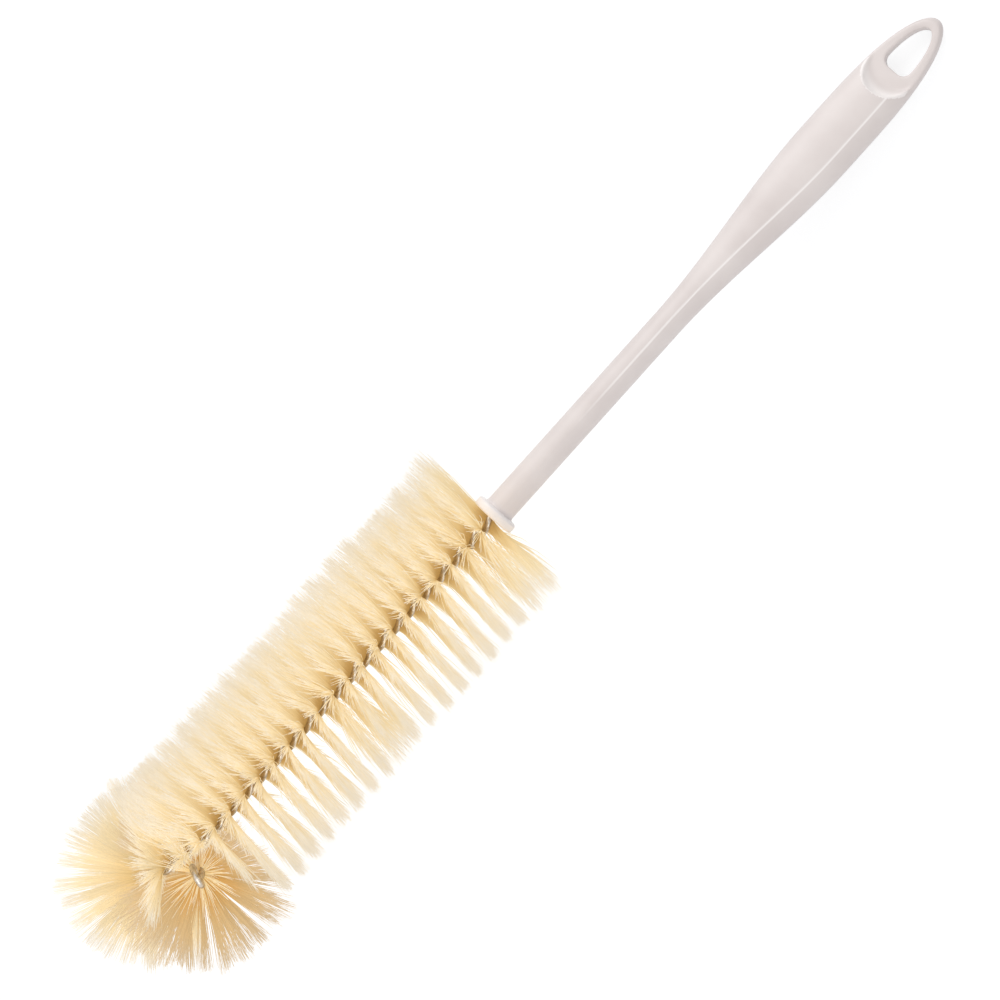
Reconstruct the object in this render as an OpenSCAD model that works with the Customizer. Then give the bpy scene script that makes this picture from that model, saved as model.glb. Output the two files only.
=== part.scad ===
// Bottle brush: a one-piece plastic handle with a hanging eye, and a twisted wire head
// whose bristles stand out in a double spiral. The wire ends in a small ring with a short
// upright leg, whose bristles spread over the others.
//
// The pieces are made along X: X = 0 is the flange's face, +X runs to the tip of the head,
// +Z is the handle's upper side. rest() then lays the brush down on the plane Z = 0.

/* [Handle] */
// Length of the handle from the flange's face to the end of the hanging eye
handle_length = 212.2; // [180:0.2:260]
// Diameter of the round neck
neck_d = 10; // [8:0.5:12]
// Widest part of the grip
grip_width = 20.4; // [17:0.2:26]
// Thickness of the grip
grip_thickness = 13.2; // [11:0.2:16]
// Distance from the flange's face to where the neck starts to widen
neck_length = 84; // [60:1:100]
// Length over which the neck widens into the grip
shoulder_length = 80; // [50:1:90]
// Length of the rounded closing end, eye included
end_length = 46; // [40:1:60]
// How far the two long creases stand out of the oval section
crease_rise = 0.35; // [0.1:0.05:0.8]
// Where the creases lie across the grip, in degrees up from its side edge
crease_angle = 57; // [45:1:75]
// Where they lie across the neck
crease_neck_angle = 74; // [60:1:85]
// How far round the section each crease fades out, in degrees
crease_spread = 50; // [25:1:60]

/* [Flange] */
// Diameter of the flange that closes the neck against the bristles
flange_d = 15; // [13:0.5:20]
// Thickness of the flange
flange_thickness = 3.2; // [2:0.1:5]
// Bevel on the flange's upper edge
flange_bevel = 0.9; // [0.3:0.1:1.5]

/* [Hanging eye] */
// Thickness of the flat tab that is left round the eye
tab_thickness = 4.2; // [3:0.1:6]
// Length of the eye along the handle
eye_length = 19; // [15:0.5:22]
// Width of the eye at its foot
eye_width = 9.8; // [8:0.2:11]
// Plastic left between the eye and the end of the handle
eye_end_wall = 4; // [3:0.2:6]
// Radius of the eye's rounded corners at its foot
eye_corner = 2.6; // [1.5:0.1:3.5]
// Radius of the round hollow in front of the eye
scoop_radius = 9.6; // [8:0.2:14]
// Distance from the foot of the eye to the middle of that hollow
scoop_ahead = 1.2; // [0:0.2:4]

/* [Wire] */
// Diameter of the wire, which is doubled and twisted on itself
wire_d = 1.8; // [1.4:0.1:2.4]
// Thickness of the bristle layer gripped between the two strands
layer_thickness = 0.4; // [0.2:0.05:0.8]
// Length of one full turn of the twist, left-handed
twist_pitch = 14.24; // [12:0.04:18]
// Length of twisted wire held inside the handle
tail_length = 28; // [15:1:50]
// Clearance round the wire in the handle's bore
bore_clearance = 0.05; // [0.02:0.01:0.2]
// Room left in the bore behind the wire's end
bore_end_room = 0.6; // [0.5:0.1:3]

/* [Head] */
// Diameter of the straight part of the head
head_d = 62; // [50:1:70]
// Bristle bundles on the straight part, one for each half turn of the wire
straight_turns = 19; // [10:1:30]
// Bare wire between the flange and the first bundle
first_gap = 0.3; // [0.1:0.1:3]
// Distance along the wire from there to where the first vane lies flat to the sides
first_vane = 1.3; // [0:0.1:3]
// Gap left along the wire between two bundles
turn_gap = 0.16; // [0.05:0.01:0.5]
// Thickness of a bristle vane at its rim
vane_rim = 1.1; // [0.6:0.1:2]
// How far the tufts of a vane spread to either side at the rim
vane_splay = 1.1; // [0:0.1:1.6]
// How much shorter every second tuft is
tuft_step = 1.8; // [0:0.2:3]
// How far the bristles that lie on the floor are pressed flat
flat_depth = 1.6; // [0.5:0.1:3]
// Turn of the whole head about the brush's length, against the handle's upper side
head_turn = -16; // [-30:1:30]

/* [Ring at the tip] */
// Radius of the ring that the end of the wire is bent into, down on the left and up on the right
ring_radius = 7.7; // [7:0.1:9]
// Turn of the ring's plane about the head's upright, against straight across
ring_turn = 42; // [30:0.5:50]
// Distance from the start of the bend to the ring's middle
ring_ahead = 18.1; // [16:0.1:22]
// Distance of the ring's middle to the side
ring_side = 0.7; // [-1:0.1:2]
// Distance of the ring's middle below the straight wire
ring_drop = 5.5; // [4:0.5:8]
// Where on the ring the wire joins it, in degrees
ring_from = 168; // [160:1:175]
// Straight wire that stands up from the ring to the loop
leg_length = 7.6; // [5:0.1:10]
// How firmly the wire holds its direction out of the straight and into the ring
bend_out = 12; // [8:0.5:14]
bend_in = 8.5; // [6:0.5:10]
// Half width and straight length of the open loop that ends the wire
loop_half_width = 3.4; // [2.6:0.1:4]
loop_neck = 3; // [2:0.2:5]

/* [Hidden] */
$fn = 48;
half_turn = twist_pitch / 2;
head_radius = head_d / 2;
strand_offset = (wire_d + layer_thickness) / 2;  // from the twist's axis to a strand's middle
core_radius = strand_offset + wire_d / 2;        // all round the two strands
lead = twist_pitch / 360;                        // travel for each degree of twist
bend_start = first_gap + straight_turns * half_turn;
vane_steps = 12;                                 // tufts along a half turn
vane_foot = 1.12 * core_radius;                  // the vane widens from here outwards
least_rim = 1.4 * core_radius;                   // and always reaches at least this far
at_wire_share = 0.5;                             // parts of the bristle layer that a vane is
at_foot_share = 1.1;                             // thick between the strands and at its foot
strand_sides = 6;
ring_step = 6;                                   // degrees
wire_step = half_turn / 4;
small_step = wire_d / 9;                         // along the wire, to find a strand's direction
curve_step = wire_d;                             // and to find how the line curves
shared_room = 0.8;                               // part of the room in the crown that bristles fill
leg_first = 0.8;                                 // how much more of it those of the leg take
rim_clearance = 1.75 * layer_thickness;          // and what they leave free besides
near_step = wire_d;                              // between the points of wire that are looked at
near_skip = 1.25 * core_radius;                  // wire this close along the line is the bristle's own
least_room = 0.5;                                // part of a vane's thickness left inside a bend
crown_ahead = 1.3;                               // how far the crown's bristles reach past the ring's
crown_aside = 1;                                 // own head, and how far they lean to one side
neck_radius = neck_d / 2;
section_sides = 28;
end_x = -handle_length;
eye_tip_x = end_x + eye_end_wall;
eye_foot_x = eye_tip_x + eye_length;
scoop_x = eye_foot_x + scoop_ahead;

function unit(v) = v / norm(v);
function ease(t) = let (k = min(max(t, 0), 1)) k * k * (3 - 2 * k);

// ---- handle: oval sections between the neck and the closing end ----

// share of full size left towards the end of the handle, 1 before it starts to close
function closing(x) =
    let (t = min(max((end_x + end_length - x) / end_length, 0), 1)) pow(1 - pow(t, 3), 0.6);
function widening(x) = ease((-x - neck_length) / shoulder_length);
function half_width(x) = closing(x) * (neck_radius + (grip_width / 2 - neck_radius) * widening(x));
function half_height(x) =
    closing(x) * (neck_radius + (grip_thickness / 2 - neck_radius) * widening(x));
// the creases start on the neck's top and part from it on the grip
function crease_at(x) = crease_neck_angle + (crease_angle - crease_neck_angle) * widening(x);
// two creases, on opposite sides of the section
function crease(turn) =
    let (off = min(turn, 360 - turn, abs(turn - 180)), k = max(0, 1 - off / crease_spread))
    crease_rise * k * k;
function section_point(x, turn) =
    let (a = crease_at(x) + turn, p = [0, half_width(x) * cos(a), half_height(x) * sin(a)])
    [x, 0, 0] + p + crease(turn) * closing(x) * unit(p);
function handle_section(x) = [
    for (i = [0:section_sides - 1]) section_point(x, 360 * i / section_sides)
];
handle_stations = concat(
    [for (t = [0.997, 0.98, 0.95, 0.9, 0.84, 0.76, 0.67, 0.57, 0.46, 0.34, 0.2, 0.04])
        end_x + end_length * (1 - t)],
    [for (i = [10:-1:0]) -neck_length - shoulder_length * i / 10],
    [-neck_length * 0.7, -neck_length * 0.35, -flange_thickness / 2]
);

// a closed solid from a list of rings with the same number of points each
module loft(rings) {
    n = len(rings[0]);
    m = len(rings);
    polyhedron(
        points = [for (ring = rings) each ring],
        faces = concat(
            [[for (i = [0:n - 1]) i]],
            [for (k = [0:m - 2], i = [0:n - 1])
                let (j = (i + 1) % n) each [
                    [k * n + i, (k + 1) * n + i, (k + 1) * n + j],
                    [k * n + i, (k + 1) * n + j, k * n + j]
                ]],
            [[for (i = [n - 1:-1:0]) (m - 1) * n + i]]
        )
    );
}

module flange() {
    rotate([0, -90, 0])
        rotate_extrude()
            polygon([
                [0, 0], [flange_d / 2, 0],
                [flange_d / 2, flange_thickness - flange_bevel],
                [flange_d / 2 - flange_bevel, flange_thickness], [0, flange_thickness]
            ]);
}

// what is cut away above the tab: a round hollow in front, and all the rest behind it
module scoop() {
    translate([scoop_x, 0, tab_thickness / 2]) {
        translate([0, 0, scoop_radius]) sphere(scoop_radius);
        translate([-end_length, -grip_width, 0])
            cube([end_length, 2 * grip_width, 2 * scoop_radius]);
    }
}

// the eye: a leaf that narrows towards the end of the handle, with a rounded foot
function eye_point(along, out, turn) =
    [eye_foot_x - eye_corner + along * cos(turn), out * sin(turn)];
module eye() {
    half = eye_width / 2;
    inner = [0, half - eye_corner];
    translate([0, 0, -grip_thickness])
        linear_extrude(2 * grip_thickness)
            polygon(concat(
                [for (turn = [0:22.5:67.5]) eye_point(eye_corner, eye_corner, turn) + inner],
                [for (turn = [90:9:270]) eye_point(eye_length - eye_corner, half, turn)],
                [for (turn = [292.5:22.5:360]) eye_point(eye_corner, eye_corner, turn) - inner]
            ));
}

module handle() {
    color([0.93, 0.9, 0.89])
        rest()
            difference() {
                union() {
                    loft([for (x = handle_stations) handle_section(x)]);
                    flange();
                }
                translate([-tail_length - bore_end_room, 0, 0]) rotate([0, 90, 0])
                    cylinder(r = core_radius + bore_clearance, h = tail_length + bore_end_room + 1);
                scoop();
                mirror([0, 0, 1]) scoop();
                eye();
            }
}

// ---- the line that the twisted wire follows ----

level = [0, cos(head_turn), sin(head_turn)];      // the head's own sideways direction
upright = [0, -sin(head_turn), cos(head_turn)];   // and its own upward one
across = [-sin(ring_turn), 0, 0] + cos(ring_turn) * level;   // in the ring's plane
ring_middle = [bend_start + ring_ahead, 0, 0] + ring_side * level - ring_drop * upright;
function on_ring(a) = ring_middle + ring_radius * (cos(a) * across + sin(a) * upright);
function ring_heading(a) = -sin(a) * across + cos(a) * upright;
bend = [
    [bend_start, 0, 0], [bend_start + bend_out, 0, 0],
    on_ring(ring_from) - bend_in * ring_heading(ring_from), on_ring(ring_from)
];
function bend_point(t) =
    pow(1 - t, 3) * bend[0] + 3 * t * pow(1 - t, 2) * bend[1]
    + 3 * t * t * (1 - t) * bend[2] + pow(t, 3) * bend[3];
line = concat(
    [for (x = [-tail_length:wire_step:bend_start - wire_step / 2]) [x, 0, 0]],
    [for (i = [0:20]) bend_point(i / 20)],
    [for (a = [ring_from + ring_step:ring_step:360 - ring_step / 2]) on_ring(a)],
    [for (k = [0:wire_step:leg_length - wire_step / 2]) on_ring(360) + k * upright],
    [on_ring(360) + leg_length * upright]
);
line_count = len(line);
line_run = [for (i = 0, s = -tail_length; i < line_count;
    s = s + (i + 1 < line_count ? norm(line[i + 1] - line[i]) : 0), i = i + 1) s];
line_end = line_run[line_count - 1];
ring_turns = round((line_end - bend_start) / half_turn);
all_turns = straight_turns + ring_turns;
line_heading = [for (i = [0:line_count - 1])
    unit(line[min(i + 1, line_count - 1)] - line[max(i - 1, 0)])];
function turned(v, heading) = unit(v - (v * heading) * heading);
// a sideways direction carried along the line with no twist of its own
line_side = [for (i = 0, v = level; i < line_count;
    i = i + 1, v = turned(v, line_heading[min(i, line_count - 1)])) v];

function table(values) = [for (c = [0:2]) [for (i = [0:line_count - 1]) [line_run[i], values[i][c]]]];
place_table = table(line);
heading_table = table(line_heading);
side_table = table(line_side);
function read(table, s) = [for (c = [0:2]) lookup(s, table[c])];

function place(s) = read(place_table, s);
function heading(s) = unit(read(heading_table, s));
function twist(s) = -(s - first_gap - first_vane) / lead;
// the way the bristles point at s, and the way across them to a strand
function outward(s) =
    let (h = heading(s), v = turned(read(side_table, s), h), a = twist(s))
    cos(a) * v + sin(a) * cross(h, v);
function strandward(s) = cross(heading(s), outward(s));

// ---- wire: one piece, out along the first strand, round the loop, back along the second ----

function ring_of(middle, run, out) =
    let (o = turned(out, run), b = cross(run, o))
    [for (i = [0:strand_sides - 1])
        let (a = 360 * i / strand_sides) middle + wire_d / 2 * (cos(a) * o + sin(a) * b)];
function strand_point(s, side) = place(s) + side * strand_offset * strandward(s);
function strand_ring(s, side) =
    let (a = max(s - small_step, -tail_length), b = min(s + small_step, line_end))
    ring_of(strand_point(s, side), side * unit(strand_point(b, side) - strand_point(a, side)),
        side * strandward(s));
strand_runs = concat([for (s = [-tail_length:wire_step:line_end - wire_step / 2]) s], [line_end]);
strand_count = len(strand_runs);

// the loop in its own plane: [across, along], from one strand to the other
loop_profile = concat(
    [for (t = [0.35, 0.7, 1]) [strand_offset + (loop_half_width - strand_offset) * ease(t), loop_neck * t]],
    [for (a = [22.5:22.5:157.5]) [loop_half_width * cos(a), loop_neck + loop_half_width * sin(a)]],
    [for (t = [1, 0.7, 0.35]) [-strand_offset - (loop_half_width - strand_offset) * ease(t), loop_neck * t]]
);
function loop_rings() =
    let (n = len(loop_profile), o = place(line_end), w = strandward(line_end), h = heading(line_end))
    [for (i = [0:n - 1])
        let (p = loop_profile[i],
             before = i > 0 ? loop_profile[i - 1] : [strand_offset, 0],
             after = i < n - 1 ? loop_profile[i + 1] : [-strand_offset, 0],
             d = unit(after - before))
        ring_of(o + p[0] * w + p[1] * h, d[0] * w + d[1] * h, d[1] * w - d[0] * h)];

module wire_core() {
    color([0.62, 0.62, 0.6])
        rest()
            loft(concat(
                [for (s = strand_runs) strand_ring(s, 1)],
                loop_rings(),
                [for (i = [strand_count - 1:-1:0]) strand_ring(strand_runs[i], -1)]
            ));
}

// ---- bristles: one bundle for each half turn, in two vanes on opposite sides ----

// the wire of the crown, whose bristles share the room between its parts
crown = [for (s = [bend_start:near_step:line_end + loop_neck])
    [s, place(min(s, line_end)) + max(s - line_end, 0) * heading(line_end)]];
// 1 on the leg and the rising part of the ring, whose bristles lie over the others, and 0 before
function over(s) = min(max((s - line_end) / half_turn + 3, 0), 1);
// a bristle ends before it would be nearer to another part of the crown or to the straight head
function reach(s, direction, full) =
    s < bend_start ? full :
    let (p = place(s),
         back = -direction[0],
         // where the straight head's last vanes end, from the next vane to those far past them
         limit_x = bend_start - half_turn / 2
             + min((s - bend_start) / half_turn / 2, 1) * (half_turn / 2 + vane_rim),
         limits = [for (q = crown)
             let (d = q[1] - p, toward = d * direction,
                  share = shared_room * (1 + leg_first * (over(s) - over(q[0]))))
             if (abs(q[0] - s) > near_skip && toward > small_step / 4)
                 share * (d * d) / (2 * toward) - rim_clearance],
         head = back > 0 ? [(p[0] - limit_x) / back] : [])
    max(least_rim, min(concat([full], limits, head)));

// whether the cuts round the eye take a point of the handle's surface away
function scooped(p) = p[0] < scoop_x
    ? abs(p[2]) > tab_thickness / 2
    : norm([p[0] - scoop_x, p[1], abs(p[2]) - tab_thickness / 2 - scoop_radius]) < scoop_radius;
// how far the handle reaches below its own axis at x
function underside(x) = max([
    for (turn = [90:300])
        let (p = section_point(x, turn))
        if (!scooped(p)) -p[2]
]);
// the floor that the brush rests on, met by the handle's closing end and the longest bristles
floor_slope = min([for (x = [end_x + 2:1:-neck_length])
    (head_radius - flat_depth - underside(x)) / -x]);
rest_tilt = atan(floor_slope);
function floor_at(x) = -(head_radius - flat_depth) - x * floor_slope;
function on_floor(p) = [p[0], p[1], max(p[2], floor_at(p[0]))];

vane_shares = [-1, 0, 0, 0, 1];                  // foot to rim, on either side of the wire
mid_share = 2;
function vane_thickness(share, at_wire) =
    at_wire ? at_wire_share * layer_thickness
    : share == 0 ? at_foot_share * layer_thickness : vane_rim;
// how the wire curves at s, as a direction with a length of one over its radius
function curving(s) =
    let (a = max(s - curve_step, -tail_length), b = min(s + curve_step, line_end))
    (heading(b) - heading(a)) / (b - a);
// one row of points across both vanes at s, on the face given by side;
// outside a bend the bristles spread to fill the room that opens between the vanes
function vane_row(s, step, face) =
    let (o = outward(s), w = cross(heading(s), o), h = heading(s), p = place(s),
         bend_away = -curving(s) * o, full = head_radius - (step % 2 == 0 ? 0 : tuft_step))
    [for (i = [0:4])
        let (way = i < mid_share ? -1 : 1, share = abs(vane_shares[i]), at_wire = i == mid_share,
             rim = reach(s, way * o, full),
             out = at_wire ? 0 : way * (vane_foot + share * (rim - vane_foot)),
             room = share == 0 ? 1 : max(least_room, 1 + out * bend_away),
             slope = unit(out * h + room * twist_pitch / (2 * PI) * w),
             spread = vane_splay * pow(abs(out) / head_radius, 2) * (step % 2 == 0 ? 1 : -1))
        on_floor(p + out * o + room * spread * h
            + face * room * vane_thickness(share, at_wire) / 2 * slope)];

module bristle_turn(k) {
    from = first_gap + k * half_turn + turn_gap / 2;
    to = min(from + half_turn, line_end) - turn_gap;
    color([0.96, 0.87, 0.68])
        rest()
            loft([for (i = [0:vane_steps])
                let (s = from + (to - from) * i / vane_steps, back = vane_row(s, i, 1))
                concat(vane_row(s, i, -1), [for (j = [4:-1:0]) back[j]])]);
}

// lays the brush on the floor with its bounding box's base centred on the origin
module rest() {
    front = ring_middle[0] + ring_radius * sin(ring_turn) + head_radius + crown_ahead;
    translate([-(front + end_x) / 2 * cos(rest_tilt), crown_aside,
        (head_radius - flat_depth) * cos(rest_tilt)])
        rotate([0, -rest_tilt, 0])
            children();
}

function turn_name(k) = k < straight_turns
    ? str("bristle_turn_", k < 9 ? "0" : "", k + 1)
    : str("bristle_ring_", k - straight_turns + 1);

handle();
wire_core();
for (k = [0:all_turns - 1])
    bristle_turn(k);
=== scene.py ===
import math

import bmesh
import bpy
import numpy as np
from mathutils import Matrix, Vector


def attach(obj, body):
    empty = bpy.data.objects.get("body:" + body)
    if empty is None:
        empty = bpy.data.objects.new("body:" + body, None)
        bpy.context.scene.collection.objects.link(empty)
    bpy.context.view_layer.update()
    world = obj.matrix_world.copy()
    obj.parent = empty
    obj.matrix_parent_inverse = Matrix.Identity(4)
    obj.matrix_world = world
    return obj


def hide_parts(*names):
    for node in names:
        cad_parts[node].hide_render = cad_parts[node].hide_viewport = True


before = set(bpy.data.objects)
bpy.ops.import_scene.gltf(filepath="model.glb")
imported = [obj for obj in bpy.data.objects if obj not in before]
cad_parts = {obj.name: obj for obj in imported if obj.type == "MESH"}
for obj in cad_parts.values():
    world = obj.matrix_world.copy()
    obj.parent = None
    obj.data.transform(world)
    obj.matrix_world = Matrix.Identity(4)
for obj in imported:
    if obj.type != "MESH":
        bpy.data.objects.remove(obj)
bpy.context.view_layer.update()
rootBody = "root"
print("frame loaded:", len(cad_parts), "nodes")


def flangeFace(node):
    # middle and direction of the flat round face that the bristles start at
    depth, slant = 0.003, 0.98      # how far behind the foremost point it may lie, and how square
    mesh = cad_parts[node].data
    far = max(v.co.x for v in mesh.vertices)
    middle, normal, area = Vector(), Vector(), 0.0
    for face in mesh.polygons:
        if face.normal.x > slant and face.center.x > far - depth:
            middle += face.center * face.area
            normal += face.normal * face.area
            area += face.area
    return middle / area, normal.normalized()


# The brush's own axes start at the flange's face: alongDir points to the brush's tip and
# upDir to the handle's upper side. levelDir points to the right, as left and right are
# meant here: seen from above, with the handle away and the tip near.
startPoint, alongDir = flangeFace("handle")
levelDir = Vector((0.0, 1.0, 0.0))
upDir = alongDir.cross(levelDir).normalized()
brushMatrix = Matrix.Translation(startPoint) @ Matrix((alongDir, levelDir, upDir)).transposed().to_4x4()
restTilt = math.asin(alongDir.z)
print("brush lies at %.2f degrees" % math.degrees(restTilt))


def toWorld(points):
    m = np.array(brushMatrix)
    return points @ m[:3, :3].T + m[:3, 3]


def turnToWorld(vectors):
    return vectors @ np.array(brushMatrix)[:3, :3].T


def unit(v):
    return v / np.linalg.norm(v, axis=-1, keepdims=True)


def smoothStep(value):
    k = np.clip(value, 0, 1)
    return k * k * (3 - 2 * k)


def linkMesh(name, mesh):
    piece = bpy.data.objects.new(name, mesh)
    bpy.context.scene.collection.objects.link(piece)
    return piece


def meshFrom(name, verts, faces, smooth=True):
    mesh = bpy.data.meshes.new(name)
    mesh.from_pydata([tuple(v) for v in verts], [], faces)
    mesh.validate()
    mesh.polygons.foreach_set("use_smooth", [smooth] * len(mesh.polygons))
    mesh.update()
    return mesh


def polyline(name, points):
    mesh = bpy.data.meshes.new(name)
    mesh.from_pydata([tuple(p) for p in points], [(i, i + 1) for i in range(len(points) - 1)], [])
    return mesh


def outwardMesh(mesh):
    # turns every face of a closed mesh outwards
    shape = bmesh.new()
    shape.from_mesh(mesh)
    bmesh.ops.recalc_face_normals(shape, faces=shape.faces)
    shape.to_mesh(mesh)
    shape.free()
    return mesh


def addNode(tree, kind, **settings):
    node = tree.nodes.new(kind)
    for key, value in settings.items():
        setattr(node, key, value)
    return node


def feed(tree, socket, value):
    # links a socket to another one, or gives it a fixed value
    if isinstance(value, bpy.types.NodeSocket):
        tree.links.new(value, socket)
    elif value is not None:
        socket.default_value = value


def doMath(tree, operation, a, b=None, clamp=False):
    node = addNode(tree, "ShaderNodeMath", operation=operation, use_clamp=clamp)
    for socket, value in zip(node.inputs, (a, b)):
        feed(tree, socket, value)
    return node.outputs[0]


def addUp(tree, *values):
    total = values[0]
    for value in values[1:]:
        total = doMath(tree, "ADD", total, value)
    return total


def multiply(tree, *values):
    product = values[0]
    for value in values[1:]:
        product = doMath(tree, "MULTIPLY", product, value)
    return product


def doVector(tree, operation, a, b=None):
    node = addNode(tree, "ShaderNodeVectorMath", operation=operation)
    feed(tree, node.inputs[0], a)
    feed(tree, node.inputs["Scale" if operation == "SCALE" else 1], b)
    return node.outputs["Vector"]


def splitVector(tree, vector):
    node = addNode(tree, "ShaderNodeSeparateXYZ")
    feed(tree, node.inputs[0], vector)
    return node.outputs


def mapRange(tree, value, fromLow, fromHigh, toLow, toHigh, kind="LINEAR"):
    node = addNode(tree, "ShaderNodeMapRange", interpolation_type=kind, clamp=True)
    for socket, given in zip(node.inputs, (value, fromLow, fromHigh, toLow, toHigh)):
        feed(tree, socket, given)
    return node.outputs[0]


def mixColour(tree, factor, a, b, blend="MIX"):
    node = addNode(tree, "ShaderNodeMix", data_type="RGBA", blend_type=blend)
    feed(tree, node.inputs["Factor"], factor)
    feed(tree, node.inputs[6], a)      # 6, 7 and output 2 are the node's colour sockets
    feed(tree, node.inputs[7], b)
    return node.outputs[2]


def srgb(r, g, b):
    # a colour as it is seen, 0 to 255, in the renderer's linear values
    linear = []
    for value in (r, g, b):
        s = value / 255
        linear.append(s / 12.92 if s <= 0.04045 else ((s + 0.055) / 1.055) ** 2.4)
    return (*linear, 1.0)


def addSockets(tree, side, sockets):
    for label, kind in sockets.items():
        tree.interface.new_socket(label, in_out=side, socket_type="NodeSocket" + kind)


def readAttribute(tree, label, kind="FLOAT"):
    node = addNode(tree, "GeometryNodeInputNamedAttribute", data_type=kind)
    node.inputs["Name"].default_value = label
    return node.outputs[0]


def storeAttribute(tree, geometry, label, value, kind="FLOAT"):
    node = addNode(tree, "GeometryNodeStoreNamedAttribute", data_type=kind, domain="POINT")
    feed(tree, node.inputs["Geometry"], geometry)
    node.inputs["Name"].default_value = label
    feed(tree, node.inputs["Value"], value)
    return node.outputs[0]


def sweepAlong(tree, curve, profile):
    # a closed tube along a curve
    node = addNode(tree, "GeometryNodeCurveToMesh")
    feed(tree, node.inputs["Curve"], curve)
    feed(tree, node.inputs["Profile Curve"], profile)
    node.inputs["Fill Caps"].default_value = True
    return node


def realize(tree, instances):
    node = addNode(tree, "GeometryNodeRealizeInstances")
    feed(tree, node.inputs[0], instances)
    return node.outputs[0]


def finishTree(tree, geometry, material):
    smooth = addNode(tree, "GeometryNodeSetShadeSmooth")
    feed(tree, smooth.inputs["Geometry"], geometry)
    painted = addNode(tree, "GeometryNodeSetMaterial")
    feed(tree, painted.inputs["Geometry"], smooth.outputs[0])
    feed(tree, painted.inputs["Material"], material)
    feed(tree, addNode(tree, "NodeGroupOutput").inputs[0], painted.outputs[0])


def socketId(tree, label):
    return next(item.identifier for item in tree.interface.items_tree
                if item.name == label and item.in_out == "INPUT")


def settledMesh(piece):
    # the plain mesh that a piece's modifiers make of it
    graph = bpy.context.evaluated_depsgraph_get()
    mesh = bpy.data.meshes.new_from_object(piece.evaluated_get(graph), depsgraph=graph)
    piece.modifiers.clear()
    return mesh


def grow(name, guide, tree, values):
    # runs the tree on a guide and keeps the result as a piece of its own
    modifier = guide.modifiers.new("grow", "NODES")
    modifier.node_group = tree
    for label, value in values.items():
        modifier[socketId(tree, label)] = value
    guide.update_tag()
    mesh = settledMesh(guide)
    mesh.name = name
    bpy.data.objects.remove(guide)
    return linkMesh(name, mesh)


def softSpotsGroup():
    # soft spots of uneven tone, as a mask from 0 to 1, for any material
    group = bpy.data.node_groups.new("softSpots", "ShaderNodeTree")
    addSockets(group, "INPUT", {"Vector": "Vector", "Scale": "Float", "Detail": "Float",
                                "Low": "Float", "High": "Float"})
    addSockets(group, "OUTPUT", {"Mask": "Float"})
    given = addNode(group, "NodeGroupInput").outputs
    noise = addNode(group, "ShaderNodeTexNoise")
    for label in ("Vector", "Scale", "Detail"):
        feed(group, noise.inputs[label], given[label])
    mask = mapRange(group, noise.outputs[0], given["Low"], given["High"], 0, 1)
    feed(group, addNode(group, "NodeGroupOutput").inputs[0], mask)
    return group


softSpots = softSpotsGroup()


def spots(tree, vector, scale, detail, low=0.0, high=1.0):
    node = addNode(tree, "ShaderNodeGroup", node_tree=softSpots)
    for socket, value in zip(node.inputs, (vector, scale, detail, low, high)):
        feed(tree, socket, value)
    return node.outputs[0]


def newMaterial(name):
    material = bpy.data.materials.new(name)
    material.use_nodes = True
    return material, material.node_tree, material.node_tree.nodes["Principled BSDF"]


def addBump(tree, shader, height, strength, distance):
    bump = addNode(tree, "ShaderNodeBump")
    bump.inputs["Strength"].default_value = strength
    bump.inputs["Distance"].default_value = distance
    feed(tree, bump.inputs["Height"], height)
    feed(tree, shader.inputs["Normal"], bump.outputs[0])


# The wire runs straight through the head, bends down and closes in a ring at the tip. It then
# stands up for a little, as the leg, and ends in an open loop.
wire = {
    "diameter": 0.0018,
    "pressed": 0.00205,       # width of a strand where the twist has flattened it
    "layer": 0.0004,          # bristles gripped between the strands
    "pitch": 0.01424,         # one full left-handed turn
    "tail": 0.028,            # length held in the handle
    "firstGap": 0.0003,
    "firstVane": 0.0013,      # from the first gap to the first vane that lies to the sides
    "straightTurns": 19,      # half turns before the bend
    "headTurn": -16.0,        # degrees about the brush's length
    "ringRadius": 0.0077,
    "ringTurn": 42.0,         # degrees from straight across
    "ringAhead": 0.0181,      # from where the bend starts to the ring's middle
    "ringSide": 0.0007,       # of its middle to the right
    "ringDrop": 0.0055,       # and below the straight wire
    "ringFrom": 168.0,        # degrees on the ring where the wire joins it
    "legLength": 0.0076,      # from the ring up to the loop
    "bendOut": 0.012,         # how firmly the bend leaves the straight wire
    "bendIn": 0.0085,         # and how firmly it joins the ring
    "loopHalfWidth": 0.0034,
    "loopNeck": 0.003,
    "lineStep": 0.001,        # between points of the straight line
    "bendPoints": 41,
    "ringStep": 2,            # degrees between points of the ring
    "legPoints": 18,
    "loopStep": 7.5,          # degrees between points of the loop
    "step": 0.00035,          # between points of a strand
    "sides": 14,
}
halfTurn = wire["pitch"] / 2
bendStart = wire["firstGap"] + wire["straightTurns"] * halfTurn
strandOffset = (wire["diameter"] + wire["layer"]) / 2
coreRadius = strandOffset + wire["diameter"] / 2
headTurn = math.radians(wire["headTurn"])
rightDir = np.array([0, math.cos(headTurn), math.sin(headTurn)])
uprightDir = np.array([0, -math.sin(headTurn), math.cos(headTurn)])


def smoothBend(ends, pulls):
    # a smooth bend between two ends, each with a point that pulls it its own way
    points = []
    for t in np.linspace(0, 1, wire["bendPoints"]):
        k = 1 - t
        points.append(k**3 * ends[0] + 3 * t * k * k * pulls[0] + 3 * t * t * k * pulls[1] + t**3 * ends[1])
    return points


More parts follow.
